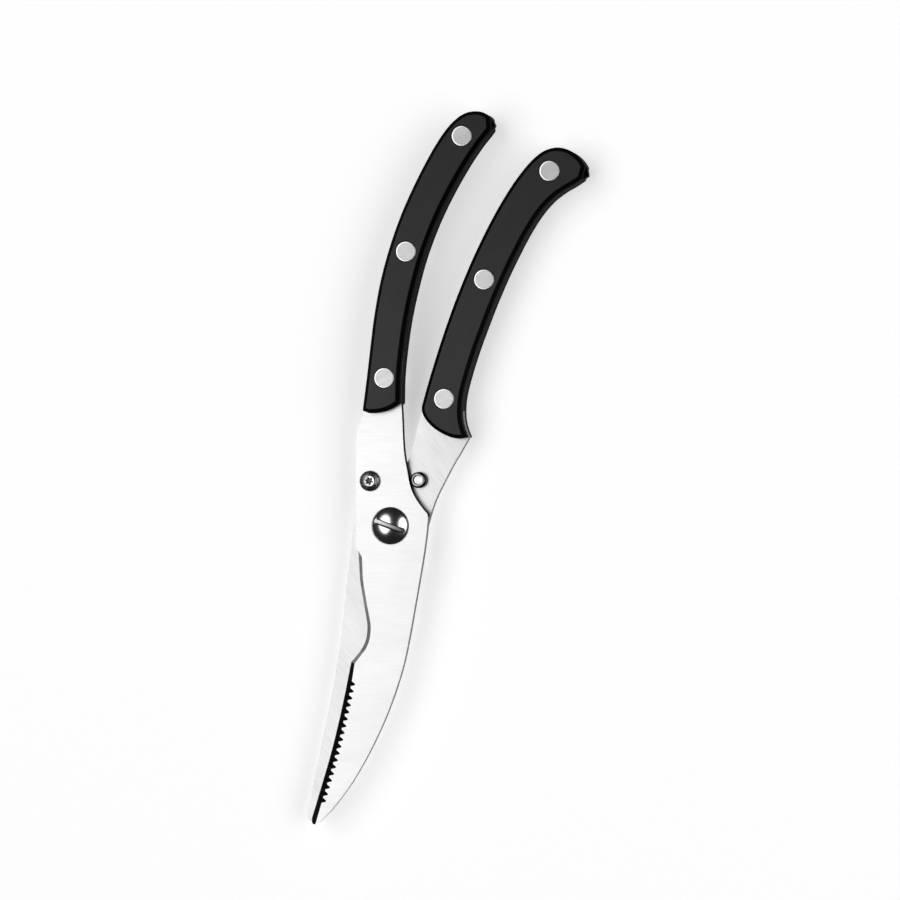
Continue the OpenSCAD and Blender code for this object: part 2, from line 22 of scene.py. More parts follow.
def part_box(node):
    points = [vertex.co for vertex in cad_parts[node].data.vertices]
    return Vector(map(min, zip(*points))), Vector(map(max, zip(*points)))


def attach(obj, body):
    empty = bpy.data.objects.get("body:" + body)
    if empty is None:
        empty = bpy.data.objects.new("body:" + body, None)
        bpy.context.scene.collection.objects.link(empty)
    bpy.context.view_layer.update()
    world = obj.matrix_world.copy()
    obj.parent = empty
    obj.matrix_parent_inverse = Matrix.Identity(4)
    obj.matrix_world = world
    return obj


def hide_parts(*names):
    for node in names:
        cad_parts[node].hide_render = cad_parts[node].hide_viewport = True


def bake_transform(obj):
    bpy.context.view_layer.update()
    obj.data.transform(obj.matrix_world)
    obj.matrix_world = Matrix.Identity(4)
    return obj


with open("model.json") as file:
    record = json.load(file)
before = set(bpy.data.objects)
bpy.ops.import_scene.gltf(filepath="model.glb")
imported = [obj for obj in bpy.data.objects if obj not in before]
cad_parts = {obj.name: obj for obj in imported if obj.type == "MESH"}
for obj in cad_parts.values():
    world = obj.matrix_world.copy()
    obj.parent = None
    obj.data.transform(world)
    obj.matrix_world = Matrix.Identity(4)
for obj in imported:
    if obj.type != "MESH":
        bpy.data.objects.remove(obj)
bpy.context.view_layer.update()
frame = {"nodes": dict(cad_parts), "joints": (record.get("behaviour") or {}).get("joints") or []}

MM = 0.001
# Where the handles lie along Y, from their collars to their ends, in millimetres.
HANDLE_SPAN = (40.0, 125.0)
# Noise spends most of its area between these two values.
NOISE_LOW, NOISE_HIGH = 0.3, 0.7
log = logging.getLogger("poultry_shears")


class Body(str, Enum):
    """The three bodies that a piece can ride on."""

    BACK = "back_half"
    FRONT = "front_half"
    LATCH = "latch"


class Slot(str, Enum):
    """The record's material slots."""

    BLADE = "blade_steel"
    PLASTIC = "black_pom"
    RIVET = "rivet_steel"
    POLISHED = "polished_steel"
    FASTENER = "fastener_steel"
    SPRING = "spring_steel"
    DARK = "dark_steel"
    LATCH = "latch_steel"


class PlateFace(IntEnum):
    """The finishes on a plate, in the order of its material numbers."""

    GROUND = 0
    SHEARED = 1
    DARKENED = 2
    NOTCH = 3
    BLACKENED = 4


class PartFace(IntEnum):
    """The finishes on a small part or a scale, in the order of its material numbers."""

    MAIN = 0
    TRIM = 1
    DETAIL = 2


# ---- colour and nodes ----------------------------------------------------


def linear(hex_colour: str) -> tuple[float, float, float, float]:
    """Turns an sRGB hex colour into the linear colour that shaders take.

    Args:
        hex_colour: Six hex digits after a hash sign.

    Returns:
        Linear red, green and blue, and an alpha of one.
    """
    parts = [int(hex_colour[i : i + 2], 16) / 255 for i in (1, 3, 5)]
    toned = [p / 12.92 if p <= 0.04045 else ((p + 0.055) / 1.055) ** 2.4 for p in parts]
    return (toned[0], toned[1], toned[2], 1.0)


def add_node(
    tree: bpy.types.NodeTree, kind: str, inputs: dict | None = None, **settings: object
) -> bpy.types.Node:
    """Adds a shader node with its settings, values and links.

    Args:
        tree: The node tree that gets the node.
        kind: The node's type name.
        inputs: Values or other nodes' sockets, by the name or number of the input.
        **settings: The node's own properties.

    Returns:
        The new node.
    """
    new = tree.nodes.new(kind)
    for name, value in settings.items():
        setattr(new, name, value)
    for key, value in (inputs or {}).items():
        if isinstance(value, bpy.types.NodeSocket):
            tree.links.new(value, new.inputs[key])
        else:
            new.inputs[key].default_value = value
    return new


def blank_material(name: str) -> tuple[bpy.types.Material, bpy.types.Node]:
    """Makes a material that holds only its shader.

    Args:
        name: The material's name.

    Returns:
        The material and its shader node.
    """
    material = bpy.data.materials.new(name)
    material.use_nodes = True
    tree = material.node_tree
    tree.nodes.clear()
    shader = add_node(tree, "ShaderNodeBsdfPrincipled")
    add_node(tree, "ShaderNodeOutputMaterial", {"Surface": shader.outputs["BSDF"]})
    return material, shader


def stretched_noise(
    tree: bpy.types.NodeTree, size_mm: Sequence[float], turn: float, detail: float
) -> bpy.types.NodeSocket:
    """Noise in object space, stretched to a real size along each axis.

    Args:
        tree: The node tree.
        size_mm: Length of one grain along the turned X, Y and Z, in millimetres.
        turn: Angle of the grain about Z, in degrees.
        detail: How many finer layers the noise has.

    Returns:
        The noise's value, from 0 to 1.
    """
    place = add_node(tree, "ShaderNodeTexCoord")
    turned = add_node(
        tree,
        "ShaderNodeVectorRotate",
        {"Vector": place.outputs["Object"], "Angle": -math.radians(turn)},
        rotation_type="Z_AXIS",
    )
    scaled = add_node(
        tree,
        "ShaderNodeVectorMath",
        {0: turned.outputs["Vector"], 1: [1 / (s * MM) for s in size_mm]},
        operation="MULTIPLY",
    )
    noise = add_node(
        tree, "ShaderNodeTexNoise", {"Vector": scaled.outputs["Vector"], "Scale": 1.0, "Detail": detail}
    )
    return noise.outputs["Fac"]


def between(
    tree: bpy.types.NodeTree, value: bpy.types.NodeSocket, low: float, high: float
) -> bpy.types.NodeSocket:
    """Spreads the middle of a noise value from low to high.

    Args:
        tree: The node tree.
        value: A noise value.
        low: The result where the noise is low.
        high: The result where the noise is high.

    Returns:
        The spread value.
    """
    spread = add_node(
        tree,
        "ShaderNodeMapRange",
        {"Value": value, "From Min": NOISE_LOW, "From Max": NOISE_HIGH, "To Min": low, "To Max": high},
    )
    return spread.outputs["Result"]


def ramp(
    tree: bpy.types.NodeTree, value: bpy.types.NodeSocket, stops: Sequence[tuple[float, str]]
) -> bpy.types.NodeSocket:
    """Turns a value into a colour along a row of stops.

    Args:
        tree: The node tree.
        value: The value, from 0 to 1.
        stops: Places along the row and their hex colours.

    Returns:
        The colour.
    """
    row = add_node(tree, "ShaderNodeValToRGB", {"Fac": value})
    while len(row.color_ramp.elements) < len(stops):
        row.color_ramp.elements.new(0.5)
    for element, (place, hex_colour) in zip(row.color_ramp.elements, stops):
        element.position = place
        element.color = linear(hex_colour)
    return row.outputs["Color"]


def along(
    tree: bpy.types.NodeTree, start_mm: float, end_mm: float, axis: str = "Y"
) -> bpy.types.NodeSocket:
    """How far a point lies along an axis from one place to another.

    Args:
        tree: The node tree.
        start_mm: Where the result is 0, in millimetres on the object's own axis.
        end_mm: Where the result is 1.
        axis: The axis, X, Y or Z.

    Returns:
        A value from 0 to 1.
    """
    place = add_node(tree, "ShaderNodeTexCoord")
    split = add_node(tree, "ShaderNodeSeparateXYZ", {0: place.outputs["Object"]})
    spread = add_node(
        tree,
        "ShaderNodeMapRange",
        {"Value": split.outputs[axis], "From Min": start_mm * MM, "From Max": end_mm * MM},
    )
    return spread.outputs["Result"]


def shaded(
    tree: bpy.types.NodeTree, colour: bpy.types.NodeSocket, value: bpy.types.NodeSocket, far: float
) -> bpy.types.NodeSocket:
    """Darkens a colour evenly towards one end.

    Args:
        tree: The node tree.
        colour: The colour.
        value: 0 where the colour stays, 1 at the darker end.
        far: The share of the colour that is left at the darker end.

    Returns:
        The darkened colour.
    """
    share = add_node(tree, "ShaderNodeMapRange", {"Value": value, "To Min": 1.0, "To Max": far})
    scaled = add_node(
        tree, "ShaderNodeVectorMath", {0: colour, "Scale": share.outputs["Result"]}, operation="SCALE"
    )
    return scaled.outputs["Vector"]


def bump(tree: bpy.types.NodeTree, height: bpy.types.NodeSocket, depth_mm: float) -> bpy.types.NodeSocket:
    """Bends the surface's normal by a height.

    Args:
        tree: The node tree.
        height: The height, from 0 to 1.
        depth_mm: How deep a full height is, in millimetres.

    Returns:
        The bent normal.
    """
    node = add_node(tree, "ShaderNodeBump", {"Height": height, "Strength": 1.0, "Distance": depth_mm * MM})
    return node.outputs["Normal"]


# ---- finishes ------------------------------------------------------------


@dataclass(frozen=True)
class GroundSteel:
    """Stainless steel ground on a belt, which leaves fine parallel lines.

    A belt of grit 240 leaves lines about 0.05 mm apart. They are drawn several
    times wider so that they show, and shallow, so that they only soften what
    the steel reflects.
    """

    name: str
    light: str = "#eeeeee"
    dull: str = "#e6e6e7"
    roughness: tuple[float, float] = (0.31, 0.35)
    grain_turn: float = 12.0
    grain_mm: tuple[float, float, float] = (9.0, 0.4, 4.0)
    scratch_mm: float = 0.0015
    # Share of the colour left at the span's far end, as painted shade.
    painted_shade_far_share: float = 1.0
    span: tuple[float, float, str] = (*HANDLE_SPAN, "Y")

    def material(self) -> bpy.types.Material:
        """Builds the ground steel."""
        material, shader = blank_material(self.name)
        tree = material.node_tree
        lines = stretched_noise(tree, self.grain_mm, self.grain_turn, 3.0)
        cloud = stretched_noise(tree, (30.0, 12.0, 12.0), self.grain_turn, 2.0)
        both = add_node(tree, "ShaderNodeMath", {0: lines, 1: cloud})
        half = add_node(tree, "ShaderNodeMath", {0: both.outputs[0], 1: 0.5}, operation="MULTIPLY")
        tone = ramp(tree, half.outputs[0], ((0.35, self.light), (0.65, self.dull)))
        # Painted shade: the colour darkens evenly towards the span's far end.
        if self.painted_shade_far_share < 1.0:
            tone = shaded(tree, tone, along(tree, *self.span), self.painted_shade_far_share)
        tree.links.new(tone, shader.inputs["Base Color"])
        tree.links.new(between(tree, lines, *self.roughness), shader.inputs["Roughness"])
        tree.links.new(bump(tree, lines, self.scratch_mm), shader.inputs["Normal"])
        shader.inputs["Metallic"].default_value = 1.0
        return material


@dataclass(frozen=True)
class TurnedSteel:
    """Plain steel cut on a lathe or drawn, with a faint uneven skin."""

    name: str
    light: str
    dull: str
    roughness: tuple[float, float] = (0.2, 0.32)
    grain_mm: tuple[float, float, float] = (1.2, 1.2, 0.15)
    scratch_mm: float = 0.002

    def material(self) -> bpy.types.Material:
        """Builds the turned steel."""
        material, shader = blank_material(self.name)
        tree = material.node_tree
        skin = stretched_noise(tree, self.grain_mm, 0.0, 3.0)
        tree.links.new(
            ramp(tree, skin, ((0.35, self.light), (0.65, self.dull))), shader.inputs["Base Color"]
        )
        tree.links.new(between(tree, skin, *self.roughness), shader.inputs["Roughness"])
        tree.links.new(bump(tree, skin, self.scratch_mm), shader.inputs["Normal"])
        shader.inputs["Metallic"].default_value = 1.0
        return material


@dataclass(frozen=True)
class PaintedShadeAndReflection:
    """A dull near-black, painted where steel lies in shade and where it mirrors the dark room, with a
    little wear.
    """

    name: str
    dark: str = "#020202"
    worn: str = "#080808"
    roughness: float = 0.75
    gloss: float = 0.08
    spot_mm: float = 0.8

    def material(self) -> bpy.types.Material:
        """Builds the painted black."""
        material, shader = blank_material(self.name)
        tree = material.node_tree
        wear = stretched_noise(tree, (self.spot_mm,) * 3, 0.0, 3.0)
        tree.links.new(ramp(tree, wear, ((0.4, self.dark), (0.7, self.worn))), shader.inputs["Base Color"])
        shader.inputs["Roughness"].default_value = self.roughness
        shader.inputs["Specular IOR Level"].default_value = self.gloss
        return material


@dataclass(frozen=True)
class MouldedAcetal:
    """Black acetal moulded in a spark-eroded mould, which leaves a fine satin grain.

    The grain is about 0.1 mm across. It is drawn at 0.3 mm, and shallow. Years
    of hands polish it unevenly, so its sheen wanders over about a centimetre.
    Its colour is painted darker towards the handles' ends, as painted shade.
    """

    name: str
    light: str = "#262626"
    dark: str = "#1b1b1b"
    roughness: tuple[float, float] = (0.40, 0.50)
    gloss: float = 0.5
    far_rougher: float = 0.12
    grain_size_mm: float = 0.3
    grain_depth_mm: float = 0.005
    wipe_mm: tuple[float, float, float] = (0.5, 14.0, 3.0)

    def material(self) -> bpy.types.Material:
        """Builds the moulded acetal."""
        material, shader = blank_material(self.name)
        tree = material.node_tree
        grain = stretched_noise(tree, (self.grain_size_mm,) * 3, 0.0, 2.0)
        cloud = stretched_noise(tree, (9.0, 16.0, 9.0), 15.0, 3.0)
        tone = ramp(tree, cloud, ((0.35, self.dark), (0.65, self.light)))
        far = along(tree, *HANDLE_SPAN)
        # Painted shade: the colour darkens towards the handles' ends.
        tree.links.new(shaded(tree, tone, far, 0.4), shader.inputs["Base Color"])
        wipes = stretched_noise(tree, self.wipe_mm, -12.0, 2.0)
        both = add_node(tree, "ShaderNodeMath", {0: cloud, 1: wipes})
        half = add_node(tree, "ShaderNodeMath", {0: both.outputs[0], 1: 0.5}, operation="MULTIPLY")
        satin = between(tree, half.outputs[0], *self.roughness)
        rougher = add_node(
            tree, "ShaderNodeMath", {0: far, 1: self.far_rougher, 2: satin}, operation="MULTIPLY_ADD"
        )
        tree.links.new(rougher.outputs[0], shader.inputs["Roughness"])
        tree.links.new(bump(tree, grain, self.grain_depth_mm), shader.inputs["Normal"])
        shader.inputs["IOR"].default_value = 1.48
        shader.inputs["Specular IOR Level"].default_value = self.gloss
        return material


@dataclass(frozen=True)
class StudioFloor:
    """Seamless paper, pale and matt."""

    name: str = "seamless_paper"
    colour: str = "#f9f9f9"
    shade: str = "#f4f4f4"
    fibre_mm: float = 0.8
    glow: float = 0.0

    def material(self) -> bpy.types.Material:
        """Builds the paper."""
        material, shader = blank_material(self.name)
        tree = material.node_tree
        fibres = stretched_noise(tree, (self.fibre_mm,) * 3, 0.0, 2.0)
        tone = ramp(tree, fibres, ((NOISE_LOW, self.colour), (NOISE_HIGH, self.shade)))
        tree.links.new(tone, shader.inputs["Base Color"])
        shader.inputs["Roughness"].default_value = 0.9
        shader.inputs["Emission Color"].default_value = linear(self.colour)
        shader.inputs["Emission Strength"].default_value = self.glow
        return material


# ---- modelling by operators ----------------------------------------------


def only(piece: bpy.types.Object) -> None:
    """Makes a piece the only selected object, and the active one."""
    bpy.ops.object.select_all(action="DESELECT")
    piece.select_set(True)
    bpy.context.view_layer.objects.active = piece


@contextmanager
def editing(piece: bpy.types.Object) -> Iterator[None]:
    """Holds a piece in edit mode while its operators run."""
    only(piece)
    bpy.ops.object.mode_set(mode="EDIT")
    try:
        yield
    finally:
        bpy.ops.object.mode_set(mode="OBJECT")


def pick_edges(piece: bpy.types.Object, test: Callable[[bmesh.types.BMEdge], bool]) -> None:
    """Selects only the edges that pass a test, in edit mode.

    Args:
        piece: The piece that is being edited.
        test: Says whether an edge is wanted.
    """
    bpy.ops.mesh.select_mode(type="EDGE")
    bpy.ops.mesh.select_all(action="DESELECT")
    mesh = bmesh.from_edit_mesh(piece.data)
    for edge in [e for e in mesh.edges if test(e)]:
        edge.select_set(True)
    bmesh.update_edit_mesh(piece.data)


def fold(edge: bmesh.types.BMEdge) -> float:
    """Angle between an edge's two faces, in degrees, or 0 at an open edge."""
    return math.degrees(edge.calc_face_angle(0.0)) if len(edge.link_faces) == 2 else 0.0


def middle(edge: bmesh.types.BMEdge) -> Vector:
    """The middle point of an edge."""
    return (edge.verts[0].co + edge.verts[1].co) / 2


def modify(piece: bpy.types.Object, kind: str, **settings: object) -> None:
    """Adds a modifier to a piece and applies it.

    Args:
        piece: The piece.
        kind: The modifier's type.
        **settings: The modifier's own properties.
    """
    only(piece)
    modifier = piece.modifiers.new(kind.title(), kind)
    for name, value in settings.items():
        setattr(modifier, name, value)
    bpy.ops.object.modifier_apply(modifier=modifier.name)


def round_edges(piece: bpy.types.Object, width_mm: float, segments: int = 2, over: float = 30.0) -> None:
    """Rounds every edge that folds by more than an angle.

    Args:
        piece: The piece.
        width_mm: Width of the rounding.
        segments: Number of strips across it.
        over: The least fold that is rounded, in degrees.
    """
    modify(
        piece,
        "BEVEL",
        width=width_mm * MM,
        segments=segments,
        limit_method="ANGLE",
        angle_limit=math.radians(over),
        miter_outer="MITER_ARC",
    )


def smooth(piece: bpy.types.Object, under: float = 34.0) -> None:
    """Shades a piece smooth but for its sharp edges, and keeps its flats flat."""
    only(piece)
    bpy.ops.object.shade_smooth_by_angle(angle=math.radians(under))
    modify(piece, "WEIGHTED_NORMAL", keep_sharp=True, weight=80)


def cut(piece: bpy.types.Object, cutter: bpy.types.Object, operation: str = "DIFFERENCE") -> None:
    """Cuts a piece with another mesh, which is then thrown away.

    Args:
        piece: The piece that is cut.
        cutter: The mesh that cuts it.
        operation: What the cut keeps.
    """
    modify(piece, "BOOLEAN", object=cutter, operation=operation, solver="EXACT")
    bpy.data.objects.remove(cutter)


def finished_copy(node: str, name: str) -> bpy.types.Object:
    """Copies a node's mesh and joins its loose triangles into clean faces.

    Args:
        node: The frame's node.
        name: The new piece's name.

    Returns:
        The copy, which stands for the node.
    """
    piece = bpy.data.objects.new(name, frame["nodes"][node].data.copy())
    bpy.context.scene.collection.objects.link(piece)
    piece.data.materials.clear()
    only(piece)
    bpy.ops.mesh.customdata_custom_splitnormals_clear()
    with editing(piece):
        bpy.ops.mesh.select_all(action="SELECT")
        bpy.ops.mesh.remove_doubles(threshold=0.002 * MM)
        bpy.ops.mesh.dissolve_limited(angle_limit=math.radians(0.6))
        bpy.ops.mesh.mark_sharp(clear=True)
    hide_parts(node)
    return piece


def lathe(
    name: str, profile: Sequence[tuple[float, float]], centre: Vector, steps: int = 72
) -> bpy.types.Object:
    """Spins a profile round an upright axis.

    Args:
        name: The new piece's name.
        profile: Radius and height of each corner, in millimetres, from the axis's
            foot outwards and up to the axis again.
        centre: The point on the axis that heights are counted from, in metres.
        steps: Number of flats round the piece.

    Returns:
        The turned piece.
    """
    bpy.ops.object.select_all(action="DESELECT")
    bpy.ops.mesh.primitive_plane_add(size=MM, location=(0, 0, 0))
    piece = bpy.context.active_object
    piece.name = piece.data.name = name
    with editing(piece):
        bpy.ops.mesh.merge(type="COLLAPSE")
        bpy.ops.mesh.select_mode(type="VERT")
        bpy.ops.mesh.select_all(action="SELECT")
        radius, height = profile[0]
        bpy.ops.transform.translate(value=(centre.x + radius * MM, centre.y, centre.z + height * MM))
        for (r0, z0), (r1, z1) in zip(profile, profile[1:]):
            step = ((r1 - r0) * MM, 0, (z1 - z0) * MM)
            bpy.ops.mesh.extrude_region_move(TRANSFORM_OT_translate={"value": step})
        bpy.ops.mesh.select_all(action="SELECT")
        bpy.ops.mesh.spin(steps=steps, angle=2 * math.pi, center=centre, axis=(0, 0, 1))
        bpy.ops.mesh.select_all(action="SELECT")
        bpy.ops.mesh.remove_doubles(threshold=0.001 * MM)
        bpy.ops.mesh.normals_make_consistent(inside=False)
    return piece


def cylinder(
    name: str, radius_mm: float, low: float, high: float, at: Vector, sides: int = 64
) -> bpy.types.Object:
    """Adds an upright cylinder between two heights.

    Args:
        name: The new mesh's name.
        radius_mm: Its radius.
        low: Height of its foot, in metres.
        high: Height of its top, in metres.
        at: A point on its axis.
        sides: Number of its sides.

    Returns:
        The cylinder.
    """
    bpy.ops.object.select_all(action="DESELECT")
    bpy.ops.mesh.primitive_cylinder_add(
        vertices=sides, radius=radius_mm * MM, depth=high - low, location=(at.x, at.y, (low + high) / 2)
    )
    piece = bpy.context.active_object
    piece.name = piece.data.name = name
    bpy.ops.object.transform_apply(location=True, rotation=True, scale=True)
    return piece


def dress(piece: bpy.types.Object, body: Body, slot: Slot, *finishes: bpy.types.Material) -> None:
    """Gives a piece its materials and the body it rides on.

    Args:
        piece: The finished piece.
        body: The body that carries it.
        slot: The record's material slot; not used.
        *finishes: The materials, in the order of the faces' material numbers.
    """
    for finish in finishes:
        piece.data.materials.append(finish)
    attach(piece, body.value)
    log.info("%s: %d faces on %s", piece.name, len(piece.data.polygons), body.value)


def paint(piece: bpy.types.Object, number: IntEnum, test: Callable[[Vector, Vector], bool]) -> None:
    """Gives some faces a material number.

    Args:
        piece: The piece.
        number: The material's place on the piece.
        test: Says from a face's middle and normal whether it is wanted.
    """
    for polygon in piece.data.polygons:
        if test(polygon.center, polygon.normal):
            polygon.material_index = number


def node_centre(node: str) -> Vector:
    """The middle of a node's box."""
    low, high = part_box(node)
    return (Vector(low) + Vector(high)) / 2


def node_levels(node: str) -> tuple[float, float]:
    """The lowest and highest level of a node."""
    low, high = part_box(node)
    return low[2], high[2]


PIVOT = Vector(next(j for j in frame["joints"] if j["name"] == "blade_hinge")["pos_m"])


def from_pivot(x_mm: float, y_mm: float, z_mm: float = 0.0) -> Vector:
    """A point given from the pivot at the plates' parting plane."""
    return PIVOT + Vector((x_mm, y_mm, z_mm)) * MM


# ---- the two halves ------------------------------------------------------


@dataclass
class Blades:
    """The two steel plates, each a tang, a lever and a blade in one.

    Places along the plates are counted from the pivot, in millimetres.
    """

    edge_round: float = 0.18
    sharp_fold: float = 40.0
    heel_y: float = -50.1
    notch_top_y: float = -9.5
    bevel_right_x: float = 3.6
    back_edge_x: float = -2.5
    land_top: float = 0.47
    hip_y: float = 6.0
    tang_y: float = 45.0
    covered_y: float = 60.0
    shade_under: float = 28.0
    # Belt lines run across the front blade, and aslant on the duller back one.
    face: GroundSteel = GroundSteel("front_blade_belt_ground_steel")
    back_face: GroundSteel = GroundSteel(
        "back_blade_belt_ground_steel", light="#e6e6e6", dull="#d8d8d8", grain_turn=-35.0
    )
    # Walls left by the shear are torn and grey, and are painted darker still as painted shade, so they draw
    # a thin outline.
    sheared: TurnedSteel = TurnedSteel(
        "sheared_edge_steel", "#4a4a4c", "#323234", (0.3, 0.45), (0.5, 0.5, 2.0), 0.006
    )
    # The lever's wall over the back plate, the tangs' edges and the plates' covered ends are painted black
    # as painted shade.
    shade_painted_edge: PaintedShadeAndReflection = PaintedShadeAndReflection("shade_painted_edge_steel")
    # The cutting bevel and gullets are painted black as a painted reflection of the dark room.
    reflection_painted_bevel: PaintedShadeAndReflection = PaintedShadeAndReflection("reflection_painted_bevel_black")
    # The bone notch is ground by hand, which leaves it mid-grey.
    notch_grind: TurnedSteel = TurnedSteel(
        "notch_grind_steel", "#88898b", "#6b6c6f", (0.3, 0.4), (0.3, 2.0, 1.0), 0.004
    )

    def round_plate(self, piece: bpy.types.Object, fine: Callable[[Vector], bool]) -> None:
        """Rounds a plate's edges, and parts its covered end from the rest.

        Args:
            piece: The plate.
            fine: Says from an edge's middle whether it stays sharp.
        """
        width = self.edge_round * MM
        with editing(piece):
            pick_edges(piece, lambda e: fold(e) > self.sharp_fold and not fine(middle(e)))
            bpy.ops.mesh.bevel(offset=width, segments=3, affect="EDGES", clamp_overlap=True)
            bpy.ops.mesh.select_all(action="SELECT")
            bpy.ops.mesh.bisect(plane_co=from_pivot(0, self.covered_y), plane_no=(0, 1, 0))
        smooth(piece, self.shade_under)

    def front_plate(self) -> None:
        """Finishes the front plate, with its bevel and gullets painted black as painted reflection, and its
        lever wall painted black as painted shade.
        """
        heel, notch = from_pivot(0, self.heel_y), from_pivot(0, self.notch_top_y)
        right = from_pivot(self.bevel_right_x, 0)
        land = from_pivot(0, 0, self.land_top)
        hip, tang = from_pivot(0, self.hip_y), from_pivot(0, self.tang_y)
        covered = from_pivot(0, self.covered_y)
        plate = finished_copy("front_blade", "ground_front_blade")
        self.round_plate(plate, lambda c: c.y < notch.y and c.x < right.x)
        # Walls: their torn grey, with painted shade.
        paint(
            plate, PlateFace.SHEARED,
            lambda c, n: abs(n.z) < 0.3 and not (c.z < land.z and c.y < notch.y and n.x < 0),
        )
        # Painted shade: the lever's wall, the tangs' edges and the covered end are painted black.
        paint(
            plate, PlateFace.DARKENED,
            lambda c, n: c.y > covered.y
            or (abs(n.z) < 0.6 and ((n.x > 0.3 and c.y > hip.y) or c.y > tang.y)),
        )
        # Painted reflection: the bevel and gullets are painted black, as the dark room they mirror.
        paint(
            plate, PlateFace.BLACKENED,
            lambda c, n: c.y < heel.y and c.x < right.x and 0.02 < n.z < 0.97 and n.x < 0.3,
        )
        paint(
            plate, PlateFace.NOTCH,
            lambda c, n: heel.y < c.y < notch.y and c.x < right.x and 0.1 < n.z < 0.97 and n.x < 0,
        )
        finishes = (self.face, self.sheared, self.shade_painted_edge, self.notch_grind, self.reflection_painted_bevel)
        dress(plate, Body.FRONT, Slot.BLADE, *(finish.material() for finish in finishes))

    def back_plate(self) -> None:
        """Finishes the back plate, with its plain ground edge."""
        notch, tang = from_pivot(0, self.notch_top_y), from_pivot(0, self.tang_y)
        edge, covered = from_pivot(self.back_edge_x, 0), from_pivot(0, self.covered_y)
        plate = finished_copy("back_blade", "ground_back_blade")
        self.round_plate(plate, lambda c: c.y < notch.y and c.x > edge.x)
        # Walls: their torn grey, with painted shade.
        paint(plate, PlateFace.SHEARED, lambda c, n: abs(n.z) < 0.3)
        paint(plate, PlateFace.NOTCH, lambda c, n: c.y < notch.y and -0.97 < n.z < -0.3)
        # Painted shade: the tangs' edges and the covered end are painted black.
        paint(
            plate, PlateFace.DARKENED,
            lambda c, n: c.y > covered.y or (abs(n.z) < 0.6 and c.y > tang.y),
        )
        finishes = (self.back_face, self.sheared, self.shade_painted_edge, self.notch_grind)
        dress(plate, Body.BACK, Slot.BLADE, *(finish.material() for finish in finishes))

    def build(self) -> None:
        """Builds and dresses both plates."""
        self.front_plate()
        self.back_plate()


@dataclass
class Handles:
    """The four scales and the six two-part rivets that hold them."""

    corner_round: float = 0.3
    head_rim: float = 0.42
    head_rise: float = 0.12
    head_thickness: float = 1.2
    rim_drop: float = 0.03
    sleeve_r: float = 2.1
    bore_r: float = 1.32
    stem_r: float = 1.3
    flat_slope: float = 0.93
    # The flats are a grey satin, and the chamfers and walls a near-black copy of it, painted darker as
    # painted shade.
    scale_finish: MouldedAcetal = MouldedAcetal("moulded_black_acetal")
    shade_painted_side_finish: MouldedAcetal = MouldedAcetal(
        "shade_painted_black_acetal", light="#0b0b0b", dark="#060606", roughness=(0.66, 0.76), gloss=0.04
    )
    # The heads are sanded flush with the scales, which leaves them matt inside a bright rim; the rim is
    # painted brighter as a painted highlight, and the heads darker towards the handles' ends as painted
    # shade.
    rivet_finish: GroundSteel = GroundSteel(
        "brushed_rivet_steel", light="#e6e6e6", dull="#d8d8d8", roughness=(0.38, 0.46), grain_turn=40.0,
        grain_mm=(5.0, 0.35, 2.0), scratch_mm=0.002, painted_shade_far_share=0.72,
    )
    rim_finish: TurnedSteel = TurnedSteel("rivet_rim_steel", "#f2f2f2", "#eaeaea", (0.28, 0.34))

    def scale(self, node: str, body: Body, finish: bpy.types.Material, sides: bpy.types.Material) -> None:
        """Finishes one scale.

        Args:
            node: The scale's node.
            body: The body it rides on.
            finish: The material of its flat face, which hands rub.
            sides: The material of its chamfers and walls, painted near black as painted shade.
        """
        piece = finished_copy(node, "moulded_" + node)
        round_edges(piece, self.corner_round, 3, 35)
        smooth(piece, 40)
        # Chamfers and walls get the near-black acetal as painted shade.
        paint(piece, PartFace.TRIM, lambda c, n: abs(n.z) < self.flat_slope)
        dress(piece, body, Slot.PLASTIC, finish, sides)

    def rivet(self, node: str, body: Body, finish: bpy.types.Material, rim: bpy.types.Material) -> None:
        """Turns one half of a rivet: a flat head, and its pin or sleeve.

        Args:
            node: The rivet half's node.
            body: The body it rides on.
            finish: The brushed material of its head.
            rim: The bright material of its rounded rim.
        """
        low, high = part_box(node)
        centre = node_centre(node)
        radius = (high[0] - low[0]) / 2 / MM
        length = (high[2] - low[2]) / MM
        hollow = "sleeve" in node
        stem, bore = (self.sleeve_r, self.bore_r) if hollow else (self.stem_r, 0.0)
        head, rise, face = self.head_thickness, self.head_rise, radius - self.head_rim
        profile = [
            (bore, -length), (stem, -length), (stem, -head), (radius, -head), (radius, -rise),
            (radius - rise * 0.3, -rise * 0.3), (radius - rise, 0), (face, 0),
            (face - 0.04, -self.rim_drop), (0, -self.rim_drop),
        ]
        if hollow:
            profile += [(0, -head), (bore, -head), (bore, -length)]
        piece = lathe("turned_" + node, profile, Vector((centre.x, centre.y, high[2])), 64)
        if hollow:
            with editing(piece):
                bpy.ops.mesh.select_all(action="SELECT")
                bpy.ops.transform.resize(value=(1, 1, -1), center_override=centre)
                bpy.ops.mesh.normals_make_consistent(inside=False)
        smooth(piece, 32)
        outer = (face - 0.02) * MM
        # The rim gets the brighter steel, partly its polish and partly a painted highlight.
        paint(piece, PartFace.TRIM, lambda c, n: (c - centre).xy.length > outer)
        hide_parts(node)
        dress(piece, body, Slot.RIVET, finish, rim)

    def build(self) -> None:
        """Builds and dresses the scales and rivets of both handles."""
        # sides is the acetal painted near black, as painted shade on chamfers and walls.
        plastic, sides = self.scale_finish.material(), self.shade_painted_side_finish.material()
        brushed = self.rivet_finish.material()
        rim = self.rim_finish.material()
        for side, body in (("front", Body.FRONT), ("back", Body.BACK)):
            for place in ("top", "under"):
                self.scale(f"{side}_handle_{place}_scale", body, plastic, sides)
            for number in (1, 2, 3):
                for half in ("head", "sleeve"):
                    self.rivet(f"{side}_rivet_{half}_{number}", body, brushed, rim)


